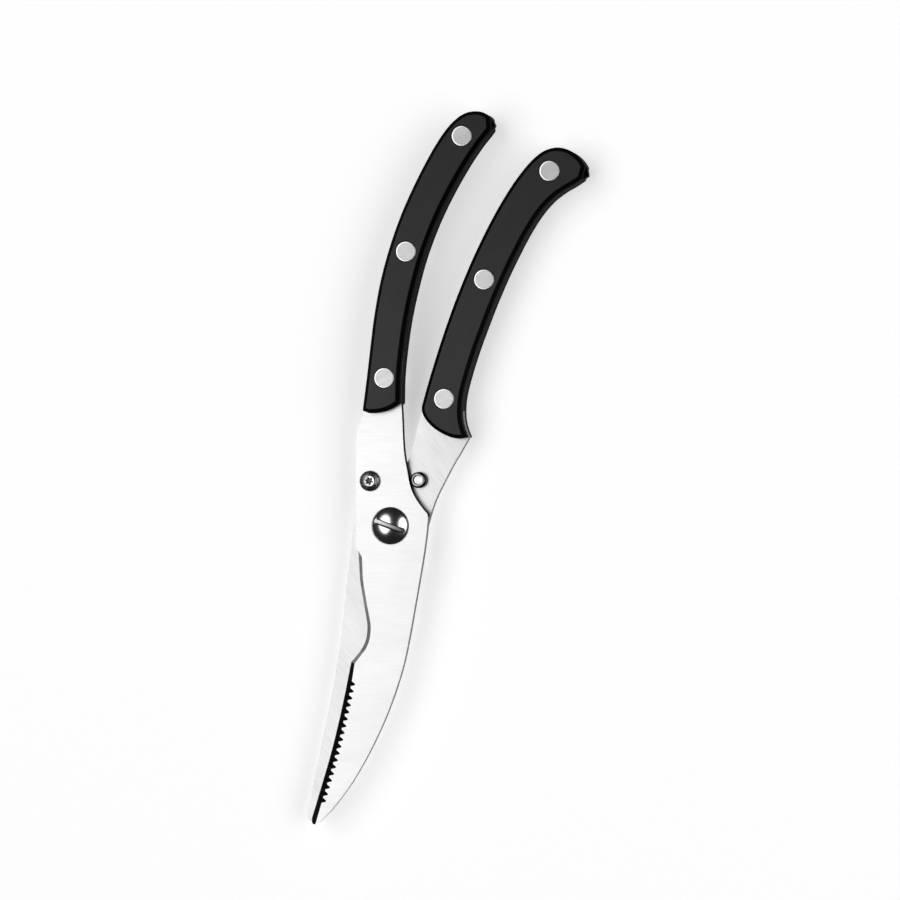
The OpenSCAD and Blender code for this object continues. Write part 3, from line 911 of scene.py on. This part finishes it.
# ---- fasteners and small parts -------------------------------------------


def thread_profile(radius: float, low: float, high: float, pitch: float) -> list[tuple[float, float]]:
    """Corners of a threaded rod's side, from its foot up.

    Args:
        radius: Radius over the crests, in millimetres.
        low: Height of the foot.
        high: Height where the thread ends.
        pitch: Distance between crests.

    Returns:
        Radius and height of each corner.
    """
    depth = 0.6 * pitch
    turns = int((high - low) / pitch)
    corners = [(radius - depth, low)]
    for turn in range(turns):
        foot = low + turn * pitch
        corners += [(radius - depth * 0.98, foot + 0.1 * pitch), (radius, foot + 0.45 * pitch)]
        corners += [(radius, foot + 0.6 * pitch), (radius - depth * 0.98, foot + 0.95 * pitch)]
    return corners


def dome_profile(radius: float, rim: float, rise: float, steps: int = 14) -> list[tuple[float, float]]:
    """Corners of a domed head from its rim's foot up to the axis.

    Args:
        radius: Radius of the head.
        rim: Height of its straight rim.
        rise: Height of the dome over the rim.
        steps: Number of strips up the dome.

    Returns:
        Radius and height of each corner above the head's seat.
    """
    ball = (radius * radius + rise * rise) / (2 * rise)
    span = math.asin(radius / ball)
    corners = [(radius - 0.12, 0.0), (radius, 0.12), (radius, rim - 0.1)]
    for step in range(steps + 1):
        angle = span * (1 - step / steps)
        inset = 0.1 if step == 0 else 0.0
        corners.append((ball * math.sin(angle) - inset, rim + rise - ball + ball * math.cos(angle)))
    return corners


@dataclass
class Pivot:
    """The slotted pivot screw, its spring washer and its nut."""

    slot_turn: float = -5.5
    slot_width: float = 1.25
    slot_depth: float = 1.5
    shoulder_r: float = 4.0
    thread_r: float = 3.0
    pitch: float = 1.0
    seat: float = 3.6
    parting: float = -0.05
    rim: float = 0.5
    washer_r: float = 5.4
    washer_hole_r: float = 3.2
    washer_gap: float = 0.8
    nut_flats: float = 10.0
    nut_bore: float = 3.02
    # A polished dome mirrors the two softboxes, and is black where it mirrors the dark room.
    chrome: TurnedSteel = TurnedSteel(
        "mirror_polished_steel", "#e4e4e6", "#d9d9dc", (0.17, 0.21), (6.0, 6.0, 6.0), 0.0
    )
    # The mill leaves slanting lines, and the slot is painted darker towards its right end as painted shade.
    slot_steel: GroundSteel = GroundSteel(
        "milled_slot_steel", light="#f0f0f0", dull="#c4c4c6", roughness=(0.3, 0.4), grain_turn=-50.0,
        grain_mm=(2.0, 0.3, 1.0), scratch_mm=0.01, painted_shade_far_share=0.08,
        span=(PIVOT.x / MM - 3.5, PIVOT.x / MM + 5.0, "X"),
    )
    # The sunk lips beside the slot are painted black as painted shade.
    slot_lip: float = 0.36
    lip_depth: float = 0.1
    lip_reach: float = 0.83
    lip: PaintedShadeAndReflection = PaintedShadeAndReflection("shade_painted_slot_lip")
    plain: TurnedSteel = TurnedSteel("plain_fastener_steel", "#b4b4b8", "#8e8f94", (0.24, 0.36))

    def mill(self, width: float, length: float, low: float, high: float) -> bpy.types.Object:
        """Makes a slot mill's path across the screw's head.

        Args:
            width: Width of the path, in millimetres.
            length: Length of the path, in millimetres.
            low: Level of its floor.
            high: Level of its top.

        Returns:
            The path.
        """
        bpy.ops.object.select_all(action="DESELECT")
        bpy.ops.mesh.primitive_cube_add(size=1, location=(PIVOT.x, PIVOT.y, (low + high) / 2))
        path = bpy.context.active_object
        path.scale = (length * MM, width * MM, high - low)
        path.rotation_euler = (0, 0, math.radians(self.slot_turn))
        return path

    def mill_slot(self, piece: bpy.types.Object, radius: float, top: float, core: bpy.types.Object) -> None:
        """Mills the screw's slot and the sunk lip on both its sides.

        Args:
            piece: The screw.
            radius: Radius of its head, in millimetres.
            top: Level of its top.
            core: The head as low as the lip, which the lip's path leaves standing.
        """
        floor, clear = top - self.slot_depth * MM, top + 2 * MM
        lips = self.mill(self.slot_width + 2 * self.slot_lip, 2 * self.lip_reach * radius, floor, clear)
        cut(lips, core)
        cut(piece, lips)
        cut(piece, self.mill(self.slot_width, 20.0, floor, clear))

    def screw(self) -> bpy.types.Object:
        """Turns the screw and mills its slot."""
        low, high = node_levels("pivot_screw")
        foot, top = (low - PIVOT.z) / MM, (high - PIVOT.z) / MM
        radius = (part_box("pivot_screw")[1][0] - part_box("pivot_screw")[0][0]) / 2 / MM
        dome = dome_profile(radius, self.rim, top - self.seat - self.rim)
        profile = [(0.0, foot), (self.thread_r - 0.7, foot)]
        profile += thread_profile(self.thread_r, foot + 0.2, self.parting - 0.9, self.pitch)
        profile += [(self.thread_r - 0.3, self.parting), (self.shoulder_r, self.parting)]
        profile += [(self.shoulder_r, self.seat)] + [(r, self.seat + h) for r, h in dome]
        piece = lathe("domed_pivot_screw", profile, PIVOT, 96)
        core = [(0.0, foot), (radius + 1, foot), (radius + 1, self.seat)]
        core += [(r, self.seat - self.lip_depth + h) for r, h in dome]
        self.mill_slot(piece, radius, high, lathe("lowered_dome", core, PIVOT, 96))
        smooth(piece, 34)
        self.paint_slot(piece, radius, high)
        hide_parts("pivot_screw")
        return piece

    def paint_slot(self, piece: bpy.types.Object, radius: float, top: float) -> None:
        """Gives the slot's floor its milled steel, darker towards its right end as painted shade, and
        paints its lips black as painted shade.

        Args:
            piece: The screw.
            radius: Radius of its head, in millimetres.
            top: Level of its top.
        """
        turn = math.radians(self.slot_turn)
        across = Vector((-math.sin(turn), math.cos(turn), 0))
        floor = top - self.slot_depth * MM
        half = (self.slot_width / 2 + 0.02) * MM
        lip = half + self.slot_lip * MM
        reach = (self.lip_reach + 0.01) * radius * MM
        # Painted shade: the lips beside the slot are painted black.
        paint(
            piece, PartFace.DETAIL,
            lambda c, n: abs((c - PIVOT).dot(across)) < lip
            and (c - PIVOT).xy.length < reach
            and c.z > floor,
        )
        # The floor gets the milled steel, painted darker towards its right end as painted shade.
        paint(
            piece, PartFace.TRIM,
            lambda c, n: abs((c - PIVOT).dot(across)) < half and abs(c.z - floor) < 0.1 * MM,
        )

    def washer(self) -> bpy.types.Object:
        """Cuts the spring washer's ring and saws its slanting gap."""
        low, high = node_levels("pivot_spring_washer")
        washer = cylinder("split_pivot_washer", self.washer_r, low, high, PIVOT, 64)
        cut(washer, cylinder("washer_hole", self.washer_hole_r, low - MM, high + MM, PIVOT, 64))
        gap = (PIVOT.x + 5 * MM, PIVOT.y, (low + high) / 2)
        bpy.ops.mesh.primitive_cube_add(size=1, location=gap)
        saw = bpy.context.active_object
        saw.scale = (4.1 * MM, self.washer_gap * MM, 4 * MM)
        saw.rotation_euler = (math.radians(25), 0, 0)
        cut(washer, saw)
        round_edges(washer, 0.12)
        smooth(washer)
        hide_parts("pivot_spring_washer")
        return washer

    def build(self) -> None:
        """Builds and dresses the pivot's pieces."""
        plain = self.plain.material()
        finishes = (self.chrome, self.slot_steel, self.lip)
        dress(self.screw(), Body.BACK, Slot.POLISHED, *(finish.material() for finish in finishes))
        dress(self.washer(), Body.BACK, Slot.FASTENER, plain)
        nut = hexagon_nut("hexagon_pivot_nut", "pivot_nut", PIVOT, self.nut_flats, self.nut_bore)
        dress(nut, Body.BACK, Slot.FASTENER, plain)


def hexagon_nut(name: str, node: str, at: Vector, flats: float, bore: float) -> bpy.types.Object:
    """Makes a hexagon nut with turned corners and a countersunk bore.

    Args:
        name: The new piece's name.
        node: The nut's node.
        at: A point on its axis.
        flats: Width across its flats, in millimetres.
        bore: Radius of its bore.

    Returns:
        The nut.
    """
    low, high = node_levels(node)
    height = (high - low) / MM
    nut = cylinder(name, flats / 2 / math.cos(math.radians(30)), low, high, at, 6)
    corner = flats / 2 + 0.85
    turned = lathe(
        "corner_turning",
        [(0, -0.01), (flats / 2 - 0.1, -0.01), (corner, 0.55), (corner, height - 0.25),
         (flats / 2 + 0.3, height + 0.01), (0, height + 0.01)],
        Vector((at.x, at.y, low)), 72,
    )
    cut(nut, turned, "INTERSECT")
    drill = lathe(
        "bore_drill",
        [(0, -0.5), (bore + 0.9, -0.5), (bore, 0.4), (bore, height - 0.4), (bore + 0.9, height + 0.5),
         (0, height + 0.5)],
        Vector((at.x, at.y, low)), 64,
    )
    cut(nut, drill)
    round_edges(nut, 0.08, 2, 20)
    smooth(nut, 30)
    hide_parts(node)
    return nut


@dataclass
class OpeningSpring:
    """The torsion spring shut in between the plates, wound from leg to leg."""

    wire_r: float = 0.7
    coil_r: float = 6.8
    leg_reach: float = 13.1
    back_leg: float = 73.3
    front_leg: float = 129.1
    steps: int = 96
    wire: TurnedSteel = TurnedSteel(
        "drawn_spring_wire", "#8a8b90", "#5f6065", (0.22, 0.34), (0.2, 0.2, 0.8)
    )

    def build(self) -> None:
        """Sweeps the wire along its legs and coil."""
        low, high = node_levels("opening_spring")
        bottom, top = low + self.wire_r * MM, high - self.wire_r * MM
        sweep = -(720 - (self.front_leg - self.back_leg))
        bend = self.coil_r + 1.6
        route = [self.spoke(reach, self.back_leg, bottom) for reach in (self.leg_reach, bend)]
        for step in range(2, self.steps - 1):
            share = step / self.steps
            level = bottom + (top - bottom) * share
            route.append(self.spoke(self.coil_r, self.back_leg + sweep * share, level))
        route += [self.spoke(reach, self.front_leg, top) for reach in (bend, self.leg_reach)]
        curve = bpy.data.curves.new("wound_opening_spring", "CURVE")
        curve.dimensions = "3D"
        curve.bevel_depth = self.wire_r * MM
        curve.bevel_resolution = 4
        curve.use_fill_caps = True
        line = curve.splines.new("POLY")
        line.points.add(len(route) - 1)
        for point, place in zip(line.points, route):
            point.co = (*place, 1)
        piece = bpy.data.objects.new("wound_opening_spring", curve)
        bpy.context.scene.collection.objects.link(piece)
        only(piece)
        bpy.ops.object.convert(target="MESH")
        smooth(piece, 40)
        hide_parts("opening_spring")
        piece.data.materials.append(self.wire.material())
        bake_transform(piece)
        log.info("%s: %d faces across the hinge", piece.name, len(piece.data.polygons))

    def spoke(self, reach: float, angle: float, level: float) -> Vector:
        """A point at a distance and angle from the pivot, at a level in metres."""
        turned, far = math.radians(angle), reach * MM
        return Vector((PIVOT.x + far * math.cos(turned), PIVOT.y + far * math.sin(turned), level))


@dataclass
class StopPin:
    """The stop pin: a round-rimmed head with a bright pressed eye, and a flanged tail."""

    eye_r: float = 1.5
    eye_depth: float = 0.3
    rim: float = 0.85
    flange_r: float = 2.6
    flange_thickness: float = 0.8
    neck_r: float = 1.7
    seat_r: float = 2.0
    plate: float = -3.55
    parting: float = -0.05
    # The side is painted nearly black and the rolled rim grey, as painted reflection of the dark room,
    # round a bright pressed eye.
    dark: TurnedSteel = TurnedSteel("dark_reflection_pin_steel", "#1c1c1d", "#101011", (0.2, 0.3))
    rim_steel: TurnedSteel = TurnedSteel(
        "grey_reflection_pin_rim_steel", "#a2a2a4", "#7c7c7f", (0.16, 0.24)
    )
    eye: TurnedSteel = TurnedSteel("pressed_eye_steel", "#f4f4f4", "#e4e4e4", (0.3, 0.36))

    def build(self) -> None:
        """Turns and dresses the pin."""
        low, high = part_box("stop_pin")
        centre = node_centre("stop_pin")
        axis = Vector((centre.x, centre.y, PIVOT.z))
        radius = (high[0] - low[0]) / 2 / MM
        foot, top = (low[2] - PIVOT.z) / MM, (high[2] - PIVOT.z) / MM
        flange, edge = foot + self.flange_thickness, self.flange_r
        profile = [
            (0, foot), (edge - 0.1, foot), (edge, foot + 0.1), (edge, flange - 0.1), (edge - 0.1, flange),
            (self.neck_r, flange), (self.neck_r, self.plate), (self.seat_r, self.plate),
            (self.seat_r, self.parting), (radius, self.parting), (radius, top - self.rim),
        ]
        for step in range(1, 9):
            turn = math.pi / 2 * step / 8
            inset, drop = self.rim * (1 - math.cos(turn)), self.rim * (1 - math.sin(turn))
            profile.append((radius - inset, top - drop))
        floor = top - self.eye_depth
        profile += [(self.eye_r + 0.25, top - 0.02), (self.eye_r, top - 0.06)]
        profile += [(self.eye_r - 0.08, floor), (0, floor)]
        piece = lathe("turned_stop_pin", profile, axis, 72)
        smooth(piece, 36)
        eye, ring = (self.eye_r - 0.05) * MM, (radius - 0.5) * MM
        # Painted reflection: the rim grey, and the side nearly black.
        paint(piece, PartFace.TRIM, lambda c, n: (c - axis).xy.length < ring and n.z > 0.5)
        paint(piece, PartFace.DETAIL, lambda c, n: (c - axis).xy.length < eye and n.z > 0.9)
        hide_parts("stop_pin")
        finishes = (self.dark, self.rim_steel, self.eye)
        dress(piece, Body.BACK, Slot.DARK, *(finish.material() for finish in finishes))


@dataclass
class Latch:
    """The latch screw, bush, lever, washer and nut."""

    socket_r: float = 1.15
    lobe: float = 0.25
    land_r: float = 1.75
    socket_depth: float = 1.4
    shank_r: float = 2.0
    pitch: float = 0.7
    seat: float = 3.55
    head_rim: float = 0.9
    bush_r: float = 2.75
    washer_r: float = 4.2
    hole_r: float = 2.02
    nut_flats: float = 7.0
    # The screw's head is painted dark with mottled highlights, as a painted reflection of the dark room,
    # round a bright faced land; the socket is painted darker as painted shade.
    dark: TurnedSteel = TurnedSteel(
        "dark_reflection_screw_steel", "#a8a8aa", "#1c1c1e", (0.28, 0.4), (0.5, 0.5, 0.5), 0.04
    )
    lit: TurnedSteel = TurnedSteel("faced_socket_land_steel", "#fafafa", "#f0f0f0", (0.3, 0.36))
    pit: TurnedSteel = TurnedSteel(
        "shade_painted_pit_steel", "#6a6a6c", "#3c3c3e", (0.36, 0.46), (0.5, 0.5, 0.5), 0.01
    )
    plain: TurnedSteel = TurnedSteel("plain_latch_fastener_steel", "#aeaeb2", "#88898e", (0.24, 0.36))
    # Tumbling leaves pressed sheet an even satin.
    sheet: GroundSteel = GroundSteel(
        "tumbled_latch_sheet", light="#e0e0e2", dull="#c6c7ca", grain_turn=70.0
    )

    def socket(self, top: float, at: Vector) -> bpy.types.Object:
        """Makes the six-lobed punch that sinks the screw's socket.

        Args:
            top: Level of the screw's top.
            at: A point on its axis.

        Returns:
            The punch.
        """
        floor = top - self.socket_depth * MM
        punch = cylinder("six_lobed_punch", self.socket_r, floor, top + MM, at, 96)
        for vertex in punch.data.vertices:
            offset = vertex.co - at
            angle = math.atan2(offset.y, offset.x)
            swell = 1 + self.lobe / self.socket_r * math.cos(6 * angle)
            vertex.co.x, vertex.co.y = at.x + offset.x * swell, at.y + offset.y * swell
        return punch

    def screw(self, axis: Vector) -> bpy.types.Object:
        """Turns the screw, sinks its socket and paints its faces.

        Args:
            axis: A point on its axis, at the plates' parting plane.

        Returns:
            The screw.
        """
        low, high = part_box("latch_screw")
        radius = (high[0] - low[0]) / 2 / MM
        foot, top = (low[2] - PIVOT.z) / MM, (high[2] - PIVOT.z) / MM
        profile = [(0, foot), (self.shank_r - 0.45, foot)]
        profile += thread_profile(self.shank_r, foot + 0.15, foot + 3.2, self.pitch)
        profile += [(self.shank_r, foot + 3.3), (self.shank_r, self.seat)]
        dome = dome_profile(radius, self.head_rim, top - self.seat - self.head_rim)
        profile += [(r, self.seat + h) for r, h in dome if r > self.land_r]
        profile += [(self.land_r, profile[-1][1]), (0, profile[-1][1])]
        screw = lathe("six_lobe_latch_screw", profile, axis, 72)
        cut(screw, self.socket(high[2], axis))
        with editing(screw):
            floor = high[2] - (self.socket_depth - 0.1) * MM
            pick_edges(screw, lambda e: fold(e) > 40 and middle(e).z > floor)
            bpy.ops.mesh.bevel(offset=0.08 * MM, segments=2, affect="EDGES", clamp_overlap=True)
        smooth(screw, 36)
        reach, pit_top = (self.land_r + 0.02) * MM, high[2] - 0.8 * MM
        paint(screw, PartFace.TRIM, lambda c, n: (c - axis).xy.length < reach and n.z > 0.98)
        # Painted shade: the socket's inside is painted darker.
        paint(screw, PartFace.DETAIL, lambda c, n: (c - axis).xy.length < reach and c.z < pit_top)
        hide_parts("latch_screw")
        return screw

    def ring(self, name: str, node: str, outer: float, axis: Vector) -> bpy.types.Object:
        """Turns a bush or a washer.

        Args:
            name: The new piece's name.
            node: The node it stands for.
            outer: Its radius, in millimetres.
            axis: A point on its axis.

        Returns:
            The ring.
        """
        low, high = node_levels(node)
        ring = cylinder(name, outer, low, high, axis, 64)
        cut(ring, cylinder("ring_hole", self.hole_r, low - MM, high + MM, axis, 48))
        round_edges(ring, 0.1)
        smooth(ring)
        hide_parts(node)
        return ring

    def build(self) -> None:
        """Builds and dresses the latch's pieces."""
        dark, plain = self.dark.material(), self.plain.material()
        centre = node_centre("latch_screw")
        axis = Vector((centre.x, centre.y, PIVOT.z))
        screw = self.screw(axis)
        dress(screw, Body.FRONT, Slot.DARK, dark, self.lit.material(), self.pit.material())
        # The bush shares the head's painted dark reflection.
        bush = self.ring("turned_latch_bush", "latch_bush", self.bush_r, axis)
        dress(bush, Body.FRONT, Slot.DARK, dark)
        washer = self.ring("flat_latch_washer", "latch_washer", self.washer_r, axis)
        dress(washer, Body.FRONT, Slot.FASTENER, plain)
        nut = hexagon_nut("hexagon_latch_nut", "latch_nut", axis, self.nut_flats, self.hole_r)
        dress(nut, Body.FRONT, Slot.FASTENER, plain)
        lever = finished_copy("latch_lever", "pressed_latch_lever")
        round_edges(lever, 0.2, 3, 35)
        smooth(lever, 34)
        dress(lever, Body.LATCH, Slot.LATCH, self.sheet.material())


# ---- studio --------------------------------------------------------------


@dataclass
class Studio:
    """Floor, lights and camera."""

    tilt: float = 14.53
    yaw: float = 10.0
    lens: float = 150.0
    frame_mm: float = 315.0
    aim: tuple[float, float, float] = (13.95, 31.1, 3.55)
    floor_size: float = 60.0
    floor_level: float = -0.0002
    floor_glow: float = 0.52
    distance_m: float = 3.0
    # Each light's name, tilt to the right, tilt to the top, width, height and radiance.
    panels: tuple[tuple[str, float, float, float, float, float], ...] = (
        ("overhead_softbox", -27.0, 6.0, 44.0, 66.0, 1.76),
        ("fill_softbox", 44.0, 4.0, 38.0, 52.0, 2.0),
    )

    def camera(self) -> None:
        """Puts the camera over the front faces, a little to the right, and turned."""
        data = bpy.data.cameras.new("studio_camera")
        data.lens = self.lens
        data.sensor_width = 36.0
        camera = bpy.data.objects.new("studio_camera", data)
        bpy.context.scene.collection.objects.link(camera)
        tilt, yaw = math.radians(self.tilt), math.radians(self.yaw)
        back = Vector((math.sin(yaw) * math.cos(tilt), math.sin(yaw) * math.sin(tilt), math.cos(yaw)))
        up = Vector((-math.sin(tilt), math.cos(tilt), 0))
        right = up.cross(back)
        half = math.atan(data.sensor_width / 2 / data.lens)
        distance = self.frame_mm * MM / 2 / math.tan(half)
        turn = Matrix((right, up, back)).transposed()
        place = from_pivot(*self.aim) + back * distance
        camera.matrix_world = Matrix.Translation(place) @ turn.to_4x4()
        data.clip_start, data.clip_end = 0.01, 100.0
        bpy.context.scene.camera = camera

    def panel(
        self, name: str, side: float, rise: float, width: float, height: float, glow: float
    ) -> None:
        """Hangs an oval soft light that faces the shears.

        Args:
            name: The light's name.
            side: Its tilt from upright towards the camera's right, in degrees.
            rise: Its tilt from upright towards the top of the frame, in degrees.
            width: How wide it looks, in degrees.
            height: How high it looks, in degrees.
            glow: The radiance of its face.
        """
        data = bpy.data.lights.new(name, "AREA")
        data.shape = "ELLIPSE"
        data.size = 2 * self.distance_m * math.tan(math.radians(width / 2))
        data.size_y = 2 * self.distance_m * math.tan(math.radians(height / 2))
        data.energy = glow * math.pi * data.size * data.size_y * math.pi / 4
        light = bpy.data.objects.new(name, data)
        roll = Quaternion((0, 0, 1), math.radians(self.tilt))
        towards = Vector((math.tan(math.radians(side)), math.tan(math.radians(rise)), 1)).normalized()
        light.location = PIVOT + (roll @ towards) * self.distance_m
        light.rotation_mode = "QUATERNION"
        up = (Vector((0, 1, 0)) - towards * towards.y).normalized()
        face = Matrix((up.cross(towards), up, towards)).transposed()
        light.rotation_quaternion = roll @ face.to_quaternion()
        bpy.context.scene.collection.objects.link(light)

    def build(self) -> None:
        """Lays the floor and hangs the lights."""
        bpy.ops.object.select_all(action="DESELECT")
        bpy.ops.mesh.primitive_plane_add(size=self.floor_size, location=(0, 0, self.floor_level))
        floor = bpy.context.active_object
        floor.name = "paper_floor"
        floor.data.materials.append(StudioFloor(glow=self.floor_glow).material())
        for panel in self.panels:
            self.panel(*panel)
        self.room()

    def room(self) -> None:
        """Surrounds the stage with a dark room, a little lighter near the floor."""
        world = bpy.data.worlds.new("studio_room")
        world.use_nodes = True
        tree = world.node_tree
        tree.nodes.clear()
        place = add_node(tree, "ShaderNodeTexCoord")
        split = add_node(tree, "ShaderNodeSeparateXYZ", {0: place.outputs["Generated"]})
        level = add_node(
            tree, "ShaderNodeMapRange",
            {"Value": split.outputs["Z"], "From Min": 0.0, "From Max": 0.35},
        )
        shades = ((0.0, "#3c3c3c"), (0.5, "#262626"), (1.0, "#202020"))
        tone = ramp(tree, level.outputs["Result"], shades)
        back = add_node(tree, "ShaderNodeBackground", {"Color": tone, "Strength": 1.0})
        add_node(tree, "ShaderNodeOutputWorld", {"Surface": back.outputs[0]})
        bpy.context.scene.world = world
        bpy.context.scene.view_settings.view_transform = "Standard"


def main() -> None:
    """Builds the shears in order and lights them."""
    logging.basicConfig(level=logging.INFO, format="%(message)s")
    studio = Studio()
    studio.camera()
    for assembly in (Blades(), Handles(), Pivot(), OpeningSpring(), StopPin(), Latch()):
        log.info("building %s", type(assembly).__name__)
        assembly.build()
    studio.build()


if __name__ == "__main__":
    main()
